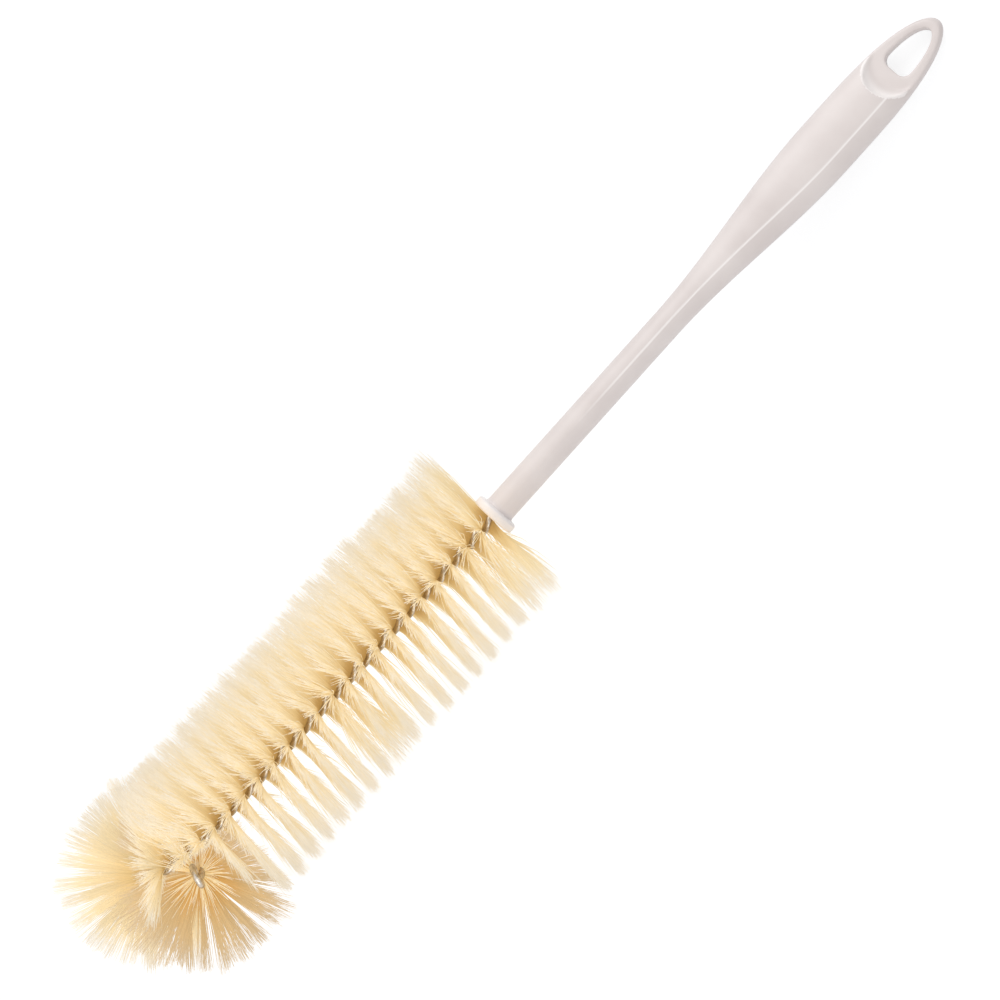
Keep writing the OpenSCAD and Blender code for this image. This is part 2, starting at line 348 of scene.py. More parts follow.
def wirePath():
    swing = math.radians(wire["ringTurn"])
    across = np.array([-math.sin(swing), 0, 0]) + math.cos(swing) * rightDir
    middle = (np.array([bendStart + wire["ringAhead"], 0, 0])
              + wire["ringSide"] * rightDir - wire["ringDrop"] * uprightDir)

    def ringPoint(angle):
        a = math.radians(angle)
        return middle + wire["ringRadius"] * (math.cos(a) * across + math.sin(a) * uprightDir)

    first, step, between = wire["ringFrom"], wire["ringStep"], wire["lineStep"]
    a = math.radians(first)
    inwards = -math.sin(a) * across + math.cos(a) * uprightDir
    points = [np.array([x, 0, 0]) for x in np.arange(-wire["tail"], bendStart - between / 2, between)]
    points += smoothBend((np.array([bendStart, 0, 0]), ringPoint(first)),
                         (np.array([bendStart + wire["bendOut"], 0, 0]),
                          ringPoint(first) - wire["bendIn"] * inwards))
    points += [ringPoint(angle) for angle in np.arange(first + step, 360 + step / 2, step)]
    leg = np.linspace(0, wire["legLength"], wire["legPoints"])
    points += [ringPoint(360) + k * uprightDir for k in leg[1:]]
    return np.array(points)


def buildLine():
    # the wire's line: the distance run, the points, the headings and a sideways direction
    points = wirePath()
    run = np.concatenate([[0], np.cumsum(np.linalg.norm(np.diff(points, axis=0), axis=1))]) - wire["tail"]
    heads = unit(np.gradient(points, run, axis=0))
    side, sides = rightDir, []
    for head in heads:      # carried along without any twist
        side = unit(side - side.dot(head) * head)
        sides.append(side)
    return run, points, heads, np.array(sides)


lineRun, linePoints, lineHeads, lineSides = buildLine()
lineEnd = lineRun[-1]
bundleCount = round((lineEnd - wire["firstGap"]) / halfTurn)
print("wire line: %.1f mm, %d bundles" % (lineEnd * 1000, bundleCount))


def onLine(table, s):
    return np.stack([np.interp(s, lineRun, table[:, i]) for i in range(3)], axis=-1)


def placeAt(s):
    return onLine(linePoints, s)


def headingAt(s):
    return unit(onLine(lineHeads, s))


def outwardAt(s):
    # the way the bristles point: the carried sideways direction, turned by the twist
    h, v = headingAt(s), onLine(lineSides, s)
    v = unit(v - (v * h).sum(-1, keepdims=True) * h)
    a = -(s - wire["firstGap"] - wire["firstVane"]) / wire["pitch"] * 2 * math.pi
    a = a[..., None]
    return np.cos(a) * v + np.sin(a) * np.cross(h, v)


bristle = {
    "headRadius": 0.0326,
    "crownRadius": 0.0338,    # those past the bend
    "perBundle": 600,         # filaments, each standing out on both sides of the wire
    "diameter": 0.00025,
    "taper": 0.62,            # share of it that is gone at their tips
    "rings": 7,               # points along a filament
    "sides": 3,
    "guidePoints": 25,        # of the wire under a bundle
    "spread": 0.0022,         # how far the filaments of a vane stand to either side of it
    "rightStray": 0.36,       # share of it for those on the right
    "leftStray": 1.75,        # and on the left
    "facingLean": 0.15,       # how much less those that stand up or down stray
    "rootLength": 0.13,       # share of their length in which they run straight out of the wire
    "ownLean": 0.4,           # part of the spread by which each tuft, strand and filament leans
    "loneShare": 0.033,       # share of the filaments that go their own way
    "loneLean": 1.3,
    "swing": 2.0,             # degrees by which they stray round the wire
    "sweep": 4.5,             # degrees by which those to the sides lean towards the tip
    "bendSweep": 20.0,        # degrees by which those at the bend lean over it
    "bendMiddle": 0.005,      # from where the bend starts to where they lean most
    "bendFade": 0.0055,       # length of wire over which that lean fades
    "bendHold": 1.8,          # above 1 it stays full near its middle
    "bendLeft": 0.35,         # how far past upright, to the right, it takes them in
    "endPart": 0.0110,        # length of wire next to the loop where some of them rise
    "endOnset": 0.25,         # share of it over which the rise sets in
    "endShare": 0.13,         # share of the filaments there that rise
    "endRise": 42.0,          # degrees by which they do
    "endRiseChange": (0.5, 1.4),
    "endLength": 0.5,         # and their share of the full length
    "endLengthChange": (0.45, 1.1),
    "sideLimit": 0.0374,      # distance from the middle at which the crown's are cut
    "topLimit": 0.0793,       # and height
    "lengthChange": 0.0013,
    "tuftShort": 1.9,         # most length changes by which a tuft is shorter
    "strandShort": (-0.6, 1.1),
    "curl": 0.0012,
    "tufts": 13,              # along a bundle, each with its own lean and length
    "strands": 52,            # finer gathers of a few filaments each
    "gather": 0.2,            # how far filaments close up towards the middle of theirs
    "crownGather": 0.8,       # the same in the crown
    "crownTurns": 6,          # half turns from the one to the other
    "tuftGather": 1.3,        # most of it that a tuft takes
    "tone": 0.3,              # how far their strands differ in tone
    "crownTone": 0.6,
    "ownTone": 0.6,           # share of it by which the filaments of a strand differ
    "risenPaintedLight": 0.5,          # painted light: how much lighter those that rise are made, as if lit more than the fan under them
    "shareOfRoom": 0.9,       # how far bristles near the bend fill the room between them
    "mingle": 0.0015,         # how far they then pass between each other
    "legMingle": 0.006,       # and how much further those of the leg do
    "legTurns": 3,            # half turns at the wire's end whose bristles come to lie over the others
    "legFirst": 0.8,          # how much more of the room goes to them
    "wireRoom": 0.0018,       # they stop this far before wire that is in their way
    "wireMiss": 0.0004,       # and pass wire that is this far aside
    "ownWire": 0.0025,        # wire this near to their own is not in their way
    "roomAhead": 0.00005,     # and no wire that is less than this ahead
    "headGap": 0.001,         # gap that the crown's keep from those of the straight head
    "roomStep": 0.0015,       # between the points of wire that count for the room
    "shortest": 0.0009,       # least length outside the wire
    "tableGap": 0.0003,       # height of those that lie flat on the table
    "tableChange": 0.004,
    "seed": 40,
    "seedStep": 20,
}
# bundles that the binding left looser than the rest, by number: stray and share of filaments
looseBundles = {0: (6, 0.6), 1: (6, 0.65), 4: (1.6, 1), 9: (3, 0.9), 10: (6, 0.7), 13: (2, 1),
                14: (3, 0.9), 16: (2, 1), 19: (2, 1.5), 20: (2, 1.4), 21: (1.3, 1.3),
                22: (1.2, 1.3), 23: (1.1, 1.2)}


def overOthers(s):
    # 1 on the leg, whose bristles lie over the others, and 0 before the ring rises
    return np.clip((s - lineEnd) / halfTurn + bristle["legTurns"], 0, 1)


def endPart(s):
    # 1 next to the loop, and 0 where no bristle rises
    return np.clip(((s - lineEnd) / bristle["endPart"] + 1) / bristle["endOnset"], 0, 1)


def leanAt(s, out):
    # how far a bristle leans along the wire, by the way it points
    standing = (out @ uprightDir) ** 2
    sweep = math.tan(math.radians(bristle["sweep"])) * (1 - standing) * (s < bendStart)
    # those that stand up towards the left lie over the bend
    left = np.clip(bristle["bendLeft"] - out[:, 1] * np.sign(out @ uprightDir), 0, 1)
    fromMiddle = np.abs(s - bendStart - bristle["bendMiddle"]) / bristle["bendFade"]
    near = np.clip(bristle["bendHold"] - fromMiddle, 0, 1)
    return sweep + math.tan(math.radians(bristle["bendSweep"])) * standing * left * near


def strayAt(s, direction, loose):
    # how freely a bristle strays along the wire, by the way it points
    toRight = np.clip(0.5 + direction @ rightDir, 0, 1)
    bySide = bristle["leftStray"] + (bristle["rightStray"] * loose - bristle["leftStray"]) * toRight
    standing = (direction @ uprightDir) ** 2
    return np.where(s < bendStart, bySide * (1 - bristle["facingLean"] * standing), loose)


def crownReach(place, direction):
    # full length in the crown, cut at the sides and on top
    spot, way = toWorld(place), turnToWorld(direction)
    full = bristle["crownRadius"]
    full = min(full, (bristle["sideLimit"] - spot[1] * np.sign(way[1])) / (abs(way[1]) + 1e-9))
    if way[2] > 0:
        full = min(full, (bristle["topLimit"] - spot[2]) / way[2])
    return full


def reachAt(s, direction):
    # in the crown a bristle ends where it would meet those of another part of the wire
    if s < bendStart:
        return bristle["headRadius"]
    place = placeAt(np.array([s]))[0]
    full = crownReach(place, direction)
    near = np.arange(bendStart, lineEnd, bristle["roomStep"])
    away = placeAt(near) - place
    toward = away @ direction
    over = float(overOthers(s))
    use = (np.abs(near - s) > bristle["ownWire"]) & (toward > bristle["roomAhead"])
    share = bristle["shareOfRoom"] * (1 + bristle["legFirst"] * (over - overOthers(near[use])))
    planes = share * (away[use] ** 2).sum(1) / (2 * toward[use]) + bristle["mingle"]
    shared = min([full, *planes])
    # the leg's own bristles lie over the others, and only the wire itself stops them
    aside = np.linalg.norm(away - toward[:, None] * direction, axis=1)
    hit = (toward > 2 * coreRadius) & (aside < coreRadius + bristle["wireMiss"])
    free = min([full, *(toward[hit] - bristle["wireRoom"])])
    reach = shared + (free - shared) * over
    if direction[0] < 0:      # and none lies in the straight head
        guard = min((s - bendStart) / (2 * halfTurn), 1) * (halfTurn / 2 + bristle["headGap"])
        depth = bristle["mingle"] + bristle["legMingle"] * over
        reach = min(reach, (place[0] - bendStart + halfTurn / 2 - guard) / -direction[0] + depth)
    return max(coreRadius + bristle["shortest"], reach)


def guideFor(name, start, end, loose):
    # the wire's middle under a bundle, carrying the bristles' directions and lengths
    runs = np.linspace(start, end, bristle["guidePoints"])
    mesh = polyline(name, toWorld(placeAt(runs)))
    out = outwardAt(runs)
    values = {"sweep": leanAt(runs, out),
              "rise": math.tan(math.radians(bristle["endRise"])) * endPart(runs)}
    for label, side in (("Back", -1), ("Front", 1)):
        values["reach" + label] = [reachAt(s, side * o) for s, o in zip(runs, out)]
        values["stray" + label] = strayAt(runs, side * out, loose)
    for label, vectors in (("outward", out), ("heading", headingAt(runs))):
        attribute = mesh.attributes.new(label, "FLOAT_VECTOR", "POINT")
        attribute.data.foreach_set("vector", turnToWorld(vectors).ravel())
    for label, numbers in values.items():
        mesh.attributes.new(label, "FLOAT", "POINT").data.foreach_set("value", numbers)
    return linkMesh(name, mesh)


def filamentRod(tree, given):
    # one filament: a thin tapered rod along X from -1 to 1
    line = addNode(tree, "GeometryNodeCurvePrimitiveLine")
    line.inputs["Start"].default_value = (-1, 0, 0)
    line.inputs["End"].default_value = (1, 0, 0)
    rings = addNode(tree, "GeometryNodeResampleCurve")
    feed(tree, rings.inputs["Curve"], line.outputs[0])
    feed(tree, rings.inputs["Count"], given["Rings"])
    along = splitVector(tree, addNode(tree, "GeometryNodeInputPosition").outputs[0])[0]
    fade = doMath(tree, "POWER", doMath(tree, "ABSOLUTE", along), 4.0)
    left = doMath(tree, "SUBTRACT", 1.0, multiply(tree, fade, bristle["taper"]))
    thick = addNode(tree, "GeometryNodeSetCurveRadius")
    feed(tree, thick.inputs["Curve"], rings.outputs[0])
    feed(tree, thick.inputs["Radius"], multiply(tree, left, multiply(tree, given["Diameter"], 0.5)))
    profile = addNode(tree, "GeometryNodeCurvePrimitiveCircle")
    profile.inputs["Resolution"].default_value = bristle["sides"]
    profile.inputs["Radius"].default_value = 1
    rod = sweepAlong(tree, thick.outputs[0], profile.outputs[0])
    if "Scale" in rod.inputs:      # newer releases scale the profile by an input
        feed(tree, rod.inputs["Scale"], addNode(tree, "GeometryNodeInputRadius").outputs[0])
    # laying it out mirrors it, so its faces are turned over first
    turned = addNode(tree, "GeometryNodeFlipFaces")
    feed(tree, turned.inputs["Mesh"], rod.outputs[0])
    return turned.outputs[0]


def crossingPoints(tree, given):
    # the points where filaments cross the wire, each carrying what makes its filament differ
    def random(low, high, add, owner=None):      # the number added to the seed keeps draws apart
        node = addNode(tree, "FunctionNodeRandomValue", data_type="FLOAT")
        feed(tree, node.inputs[2], low)
        feed(tree, node.inputs[3], high)
        feed(tree, node.inputs["ID"], owner)
        feed(tree, node.inputs["Seed"], addUp(tree, given["Seed"], add))
        return node.outputs[1]

    def bell(size, add):      # a rough normal spread from two even ones
        return multiply(tree, addUp(tree, random(-1.0, 1.0, add), random(-1.0, 1.0, add + 1)), size)

    points = addNode(tree, "GeometryNodePoints")
    feed(tree, points.inputs["Count"], given["Filaments"])
    number = addUp(tree, addNode(tree, "GeometryNodeInputIndex").outputs[0], random(0.0, 1.0, 1))
    factor = doMath(tree, "DIVIDE", number, given["Filaments"])
    curve = addNode(tree, "GeometryNodeMeshToCurve")
    feed(tree, curve.inputs["Mesh"], given["Geometry"])

    def sampled(label, kind="FLOAT", part="Value"):
        node = addNode(tree, "GeometryNodeSampleCurve", mode="FACTOR", data_type=kind, use_all_curves=True)
        feed(tree, node.inputs["Curves"], curve.outputs[0])
        feed(tree, node.inputs["Value"], readAttribute(tree, label, kind))
        feed(tree, node.inputs["Factor"], factor)
        return node.outputs[part]

    def gathered(count, add):
        # which gather a filament is in, and how far along the bundle its middle is from it
        gather = doMath(tree, "FLOOR", multiply(tree, factor, count))
        middle = doMath(tree, "DIVIDE", addUp(tree, gather, random(0.2, 0.8, add, gather)), count)
        return gather, doMath(tree, "SUBTRACT", middle, factor)

    tuft, toTuft = gathered(given["Tufts"], 21)
    strand, toStrand = gathered(given["Strands"], 22)
    # near the loop a few filaments rise and end early
    chosen = doMath(tree, "LESS_THAN", random(0.0, 1.0, 60), given["Risen share"])
    rise = sampled("rise")
    risen = multiply(tree, chosen, doMath(tree, "GREATER_THAN", rise, 0.1))
    swing = doMath(tree, "TANGENT", doMath(tree, "RADIANS", given["Swing"]))
    ownTone = multiply(tree, random(-0.5, 0.5, 17), bristle["ownTone"])
    mixed = addUp(tree, ownTone, random(-0.5, 0.5, 18, strand))
    riseBy = multiply(tree, rise, risen, random(*bristle["endRiseChange"], 61))
    numbers = {
        "lean": addUp(tree, sampled("sweep"), riseBy),
        "swing": multiply(tree, swing, bell(0.8, 11)),
        "curlHead": bell(given["Curl"], 13),
        "curlSide": bell(given["Curl"], 15),
        # the tone is random by strand, and raised as painted light on those that rise
        "tone": addUp(tree, multiply(tree, mixed, given["Tone change"]),
                      multiply(tree, risen, bristle["risenPaintedLight"])),
    }

    def addSide(label, add):
        # length, lean and pull of the filament's part on one side of the wire
        early = multiply(tree, given["Risen length"], random(*bristle["endLengthChange"], add + 8))
        cut = multiply(tree, risen, doMath(tree, "SUBTRACT", 1.0, early))
        reach = multiply(tree, sampled("reach" + label), doMath(tree, "SUBTRACT", 1.0, cut))
        own = addUp(tree, random(0.0, bristle["tuftShort"], add + 2, tuft),
                    random(*bristle["strandShort"], add + 7, strand))
        short = addUp(tree, doMath(tree, "ABSOLUTE", bell(given["Length change"], add)),
                      multiply(tree, given["Length change"], own))
        numbers["reach" + label] = doMath(tree, "SUBTRACT", reach, short)
        most = bristle["ownLean"]
        own = addUp(tree, random(-most, most, add + 3, tuft), random(-most, most, add + 4, strand))
        wide = multiply(tree, given["Spread"], sampled("stray" + label))
        aside = multiply(tree, wide, addUp(tree, bell(most, add + 5), own))
        lone = doMath(tree, "GREATER_THAN", random(0.0, 1.0, add + 9), 1 - bristle["loneShare"])
        most = bristle["loneLean"]
        numbers["lean" + label] = addUp(tree, aside, multiply(tree, lone, random(-most, most, add + 10),
                                                              given["Spread"]))
        share = multiply(tree, given["Gather"], random(0.0, bristle["tuftGather"], add + 6, tuft))
        numbers["pull" + label] = addUp(tree, multiply(tree, toStrand, given["Gather"]),
                                        multiply(tree, toTuft, share))

    addSide("Back", 30)
    addSide("Front", 50)
    kept = points.outputs[0]
    vectors = {"base": sampled("outward", "FLOAT_VECTOR", "Position"),
               "out": doVector(tree, "NORMALIZE", sampled("outward", "FLOAT_VECTOR")),
               "head": doVector(tree, "NORMALIZE", sampled("heading", "FLOAT_VECTOR"))}
    for label, value in vectors.items():
        kept = storeAttribute(tree, kept, label, value, "FLOAT_VECTOR")
    for label, value in numbers.items():
        kept = storeAttribute(tree, kept, label, value)
    return kept, (*vectors, *numbers)


def layOut(tree, given, rods):
    # bends every rod out of its point on the wire into its own place
    def read(label, kind="FLOAT"):
        return readAttribute(tree, label, kind)

    u, ringY, ringZ = splitVector(tree, addNode(tree, "GeometryNodeInputPosition").outputs[0])
    isFront = doMath(tree, "GREATER_THAN", u, 0.0)
    share = doMath(tree, "ABSOLUTE", u)      # 0 at the wire and 1 at the tips

    def bySide(label):
        back, front = read(label + "Back"), read(label + "Front")
        return addUp(tree, back, multiply(tree, isFront, doMath(tree, "SUBTRACT", front, back)))

    reach, pull = bySide("reach"), bySide("pull")
    length = multiply(tree, share, reach)
    signed = multiply(tree, u, reach)
    curved = multiply(tree, share, share)
    # past its root a filament runs aslant, and further out nearly parallel to the others
    root = bristle["rootLength"]
    free = doMath(tree, "DIVIDE", doMath(tree, "SUBTRACT", share, root), 1 - root, clamp=True)
    closed = doMath(tree, "POWER", doMath(tree, "SUBTRACT", 1.0, free), 2.0)
    opening = doMath(tree, "SUBTRACT", 1.0, closed)
    leanBy = addUp(tree, multiply(tree, opening, bySide("lean")),
                   multiply(tree, curved, read("curlHead")), multiply(tree, length, read("lean")),
                   multiply(tree, curved, multiply(tree, pull, given["Bundle length"])), ringY)
    # the wire turns half way round over a bundle, so the same pull also closes the fan
    swingBy = addUp(tree, multiply(tree, length, read("swing")), multiply(tree, curved, read("curlSide")),
                    multiply(tree, signed, share, multiply(tree, pull, -math.pi)), ringZ)
    out, head = read("out", "FLOAT_VECTOR"), read("head", "FLOAT_VECTOR")
    spot = read("base", "FLOAT_VECTOR")
    for way, far in ((out, signed), (head, leanBy), (doVector(tree, "CROSS_PRODUCT", head, out), swingBy)):
        spot = doVector(tree, "ADD", spot, doVector(tree, "SCALE", way, far))
    # the bristles that would pass through the table lie flat on it
    x, y, z = splitVector(tree, spot)
    flat = addUp(tree, multiply(tree, read("swing"), bristle["tableChange"]), bristle["tableGap"])
    onTable = addNode(tree, "ShaderNodeCombineXYZ")
    for socket, value in zip(onTable.inputs, (x, y, doMath(tree, "MAXIMUM", z, flat))):
        feed(tree, socket, value)
    moved = addNode(tree, "GeometryNodeSetPosition")
    feed(tree, moved.inputs["Geometry"], storeAttribute(tree, rods, "reach", share))
    feed(tree, moved.inputs["Position"], onTable.outputs[0])
    # painted shade: how far its colour is darkened for the shade of those that rise over it
    level = doMath(tree, "SUBTRACT", 1.0, multiply(tree, read("lean"), 2.0), clamp=True)
    return storeAttribute(tree, moved.outputs[0], "under", multiply(tree, level, given["Shade"]))


def bristleTree():
    tree = bpy.data.node_groups.new("bristlesOnWire", "GeometryNodeTree")
    addSockets(tree, "INPUT", {
        "Geometry": "Geometry", "Filaments": "Int", "Diameter": "Float", "Rings": "Int",
        "Spread": "Float", "Swing": "Float", "Curl": "Float", "Length change": "Float",
        "Tufts": "Int", "Strands": "Int", "Gather": "Float", "Bundle length": "Float",
        "Tone change": "Float", "Shade": "Float", "Risen share": "Float", "Risen length": "Float",
        "Seed": "Int", "Material": "Material"})
    addSockets(tree, "OUTPUT", {"Geometry": "Geometry"})
    given = addNode(tree, "NodeGroupInput").outputs
    points, labels = crossingPoints(tree, given)
    spread = addNode(tree, "GeometryNodeInstanceOnPoints")
    feed(tree, spread.inputs["Points"], points)
    feed(tree, spread.inputs["Instance"], filamentRod(tree, given))
    finishTree(tree, layOut(tree, given, realize(tree, spread.outputs[0])), given["Material"])
    return tree, labels


filamentFinish = {
    "root": (218, 178, 104),      # colours as they are seen, 0 to 255
    "inner": (247, 221, 161),
    "middle": (255, 240, 205),
    "tip": (255, 247, 232),
    "paintedShadeInner": (243, 222, 182),      # these paint shade on the level ones of the leg
    "paintedShadeOuter": (240, 228, 208),
    "rootUpTo": (0.03, 0.26),     # where each gives way to the next, in shares of the length
    "innerUpTo": (0.05, 0.7),
    "middleUpTo": (0.65, 1.0),
    "shadeUpTo": (0.2, 0.6),
    "rootStrength": 0.88,
    "darkest": 0.78,          # strands, against these colours
    "lightest": 1.03,
    "body": 0.66,             # share of the colour that the lit surface shows
    "paintedGlow": 1.04,             # and strength of the painted glow: the colour is emitted, standing in for light scattered inside the mass
    "roughness": 0.42,
    "gloss": 0.4,
    "letThrough": 0.6,        # share of the light that comes out on the far side
    "shadowLight": 0.93,      # share of it that passes on to the bristles behind
}


def bristleMaterial():
    finish = filamentFinish
    material, tree, shader = newMaterial("creamFilament")

    def read(label):
        return addNode(tree, "ShaderNodeAttribute", attribute_name=label).outputs["Fac"]

    def along(limits, low=0, high=1):
        return mapRange(tree, reach, *limits, low, high, "SMOOTHSTEP")

    reach, under = read("reach"), read("under")
    colour = mixColour(tree, along(finish["innerUpTo"]), srgb(*finish["inner"]), srgb(*finish["middle"]))
    colour = mixColour(tree, along(finish["middleUpTo"]), colour, srgb(*finish["tip"]))
    # the amber near the wire is partly the bristles' own deeper tone and partly painted shade close to the
    # wire, made weaker under the leg's painted shade
    clear = doMath(tree, "SUBTRACT", 1.0, multiply(tree, under, 0.5))
    root = multiply(tree, along(finish["rootUpTo"], finish["rootStrength"], 0), clear)
    colour = mixColour(tree, root, colour, srgb(*finish["root"]))
    # painted shade: the level ones of the leg are darkened as if shaded by those that rise over them, most of
    # all near the wire
    shaded = mixColour(tree, along(finish["shadeUpTo"]), srgb(*finish["paintedShadeInner"]),
                       srgb(*finish["paintedShadeOuter"]))
    colour = mixColour(tree, under, colour, shaded, "MULTIPLY")
    # tone: random by strand, plus painted light on those that rise
    shade = mapRange(tree, read("tone"), -0.8, 0.8, finish["darkest"], finish["lightest"])
    colour = doVector(tree, "SCALE", colour, shade)
    # painted glow: the lit body is darkened and the colour is emitted, standing in for light scattered inside
    # the mass
    body = doVector(tree, "SCALE", colour, finish["body"])
    feed(tree, shader.inputs["Base Color"], body)
    feed(tree, shader.inputs["Emission Color"], colour)
    shader.inputs["Emission Strength"].default_value = finish["paintedGlow"]
    shader.inputs["Roughness"].default_value = finish["roughness"]
    shader.inputs["Specular IOR Level"].default_value = finish["gloss"]
    through = addNode(tree, "ShaderNodeBsdfTranslucent")
    feed(tree, through.inputs["Color"], body)
    both = addNode(tree, "ShaderNodeMixShader")
    both.inputs[0].default_value = finish["letThrough"]
    feed(tree, both.inputs[1], shader.outputs[0])
    feed(tree, both.inputs[2], through.outputs[0])
    thin = addNode(tree, "ShaderNodeMixShader")
    isShadow = addNode(tree, "ShaderNodeLightPath").outputs["Is Shadow Ray"]
    feed(tree, thin.inputs[0], multiply(tree, isShadow, finish["shadowLight"]))
    feed(tree, thin.inputs[1], both.outputs[0])
    feed(tree, thin.inputs[2], addNode(tree, "ShaderNodeBsdfTransparent").outputs[0])
    feed(tree, tree.nodes["Material Output"].inputs["Surface"], thin.outputs[0])
    return material


creamFilament = bristleMaterial()
turnTree, scratchLabels = bristleTree()


def growBundle(k):
    # the bristles of half a turn of the wire
    pastBend = k - wire["straightTurns"] + 1
    onRing = pastBend > 0
    node = "bristle_ring_%d" % pastBend if onRing else "bristle_turn_%02d" % (k + 1)
    start = wire["firstGap"] + k * halfTurn
    end = min(start + halfTurn, lineEnd)
    loose, share = looseBundles.get(k, (1, (end - start) / halfTurn))
    crownwards = min(max(pastBend, 0) / bristle["crownTurns"], 1)
    gather = bristle["gather"] + (bristle["crownGather"] - bristle["gather"]) * crownwards
    guide = guideFor(node + "_guide", start, end, loose)
    piece = grow(node.replace("bristle_", "bristles_"), guide, turnTree, {
        "Filaments": round(bristle["perBundle"] * share), "Diameter": bristle["diameter"],
        "Rings": bristle["rings"], "Spread": bristle["spread"], "Swing": bristle["swing"] * min(loose, 2),
        "Curl": bristle["curl"], "Length change": bristle["lengthChange"],
        "Tufts": bristle["tufts"], "Strands": bristle["strands"], "Gather": gather,
        "Bundle length": end - start, "Tone change": bristle["crownTone" if onRing else "tone"],
        # painted shade, given to the leg's bundles that lie under those that rise
        "Shade": float(overOthers((start + end) / 2)),
        "Risen share": bristle["endShare"], "Risen length": bristle["endLength"],
        "Seed": bristle["seed"] + bristle["seedStep"] * k, "Material": creamFilament})
    for label in scratchLabels:
        if label != "tone":      # the finish reads that one
            piece.data.attributes.remove(piece.data.attributes[label])
    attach(piece, rootBody)
    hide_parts(node)
    return piece


bundles = [growBundle(k) for k in range(bundleCount)]
print("bristles grown: %d faces" % sum(len(piece.data.polygons) for piece in bundles))


def strandPoints(side):
    runs = np.append(np.arange(-wire["tail"], lineEnd, wire["step"]), lineEnd)
    across = np.cross(headingAt(runs), outwardAt(runs))
    return placeAt(runs) + side * strandOffset * across


def loopPoints():
    # the open loop at the end, from one strand to the other
    end = np.array([lineEnd])
    ahead = headingAt(end)[0]
    across = np.cross(ahead, outwardAt(end)[0])
    half, neck = wire["loopHalfWidth"], wire["loopNeck"]
    rise = [(strandOffset + (half - strandOffset) * smoothStep(t), neck * t) for t in np.linspace(0.1, 1, 10)]
    turns = np.radians(np.arange(wire["loopStep"], 180, wire["loopStep"]))
    arc = [(half * math.cos(a), neck + half * math.sin(a)) for a in turns]
    fall = [(-a, b) for a, b in reversed(rise)]
    return np.array([placeAt(end)[0] + a * across + b * ahead for a, b in rise + arc + fall])


def wireTree():
    tree = bpy.data.node_groups.new("wireOnLine", "GeometryNodeTree")
    addSockets(tree, "INPUT", {"Geometry": "Geometry", "Diameter": "Float", "Sides": "Int",
                               "Material": "Material"})
    addSockets(tree, "OUTPUT", {"Geometry": "Geometry"})
    given = addNode(tree, "NodeGroupInput").outputs
    curve = addNode(tree, "GeometryNodeMeshToCurve")
    feed(tree, curve.inputs["Mesh"], given["Geometry"])
    profile = addNode(tree, "GeometryNodeCurvePrimitiveCircle")
    feed(tree, profile.inputs["Resolution"], given["Sides"])
    feed(tree, profile.inputs["Radius"], multiply(tree, given["Diameter"], 0.5))
    tube = sweepAlong(tree, curve.outputs[0], profile.outputs[0])
    finishTree(tree, realize(tree, tube.outputs[0]), given["Material"])
    return tree


wireFinish = {
    "dull": (178, 167, 152),      # colours as they are seen, 0 to 255
    "bright": (224, 217, 208),
    "grain": 900,                 # spots in a metre
    "roughnessDull": 0.42,
    "roughnessBright": 0.26,
    "bump": 0.15,
    "bumpHeight": 0.00005,
}


def wireMaterial():
    finish = wireFinish
    material, tree, shader = newMaterial("drawnSteelWire")
    coord = addNode(tree, "ShaderNodeTexCoord").outputs["Object"]
    bright = spots(tree, coord, finish["grain"], 4, 0.35, 0.7)
    polished = spots(tree, coord, finish["grain"], 4, 0.3, 0.7)
    rough = mapRange(tree, polished, 0, 1, finish["roughnessDull"], finish["roughnessBright"])
    feed(tree, shader.inputs["Base Color"],
         mixColour(tree, bright, srgb(*finish["dull"]), srgb(*finish["bright"])))
    feed(tree, shader.inputs["Roughness"], rough)
    shader.inputs["Metallic"].default_value = 1.0
    addBump(tree, shader, spots(tree, coord, finish["grain"], 4), finish["bump"], finish["bumpHeight"])
    return material


def windWire():
    spine = toWorld(np.concatenate([strandPoints(1), loopPoints(), strandPoints(-1)[::-1]]))
    guide = linkMesh("wireSpine", polyline("wireSpine", spine))
    piece = grow("twisted_wire", guide, wireTree(), {
        "Diameter": wire["pressed"], "Sides": wire["sides"], "Material": wireMaterial()})
    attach(piece, rootBody)
    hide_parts("wire_core")
    return piece


print("wire wound: %d faces" % len(windWire().data.polygons))

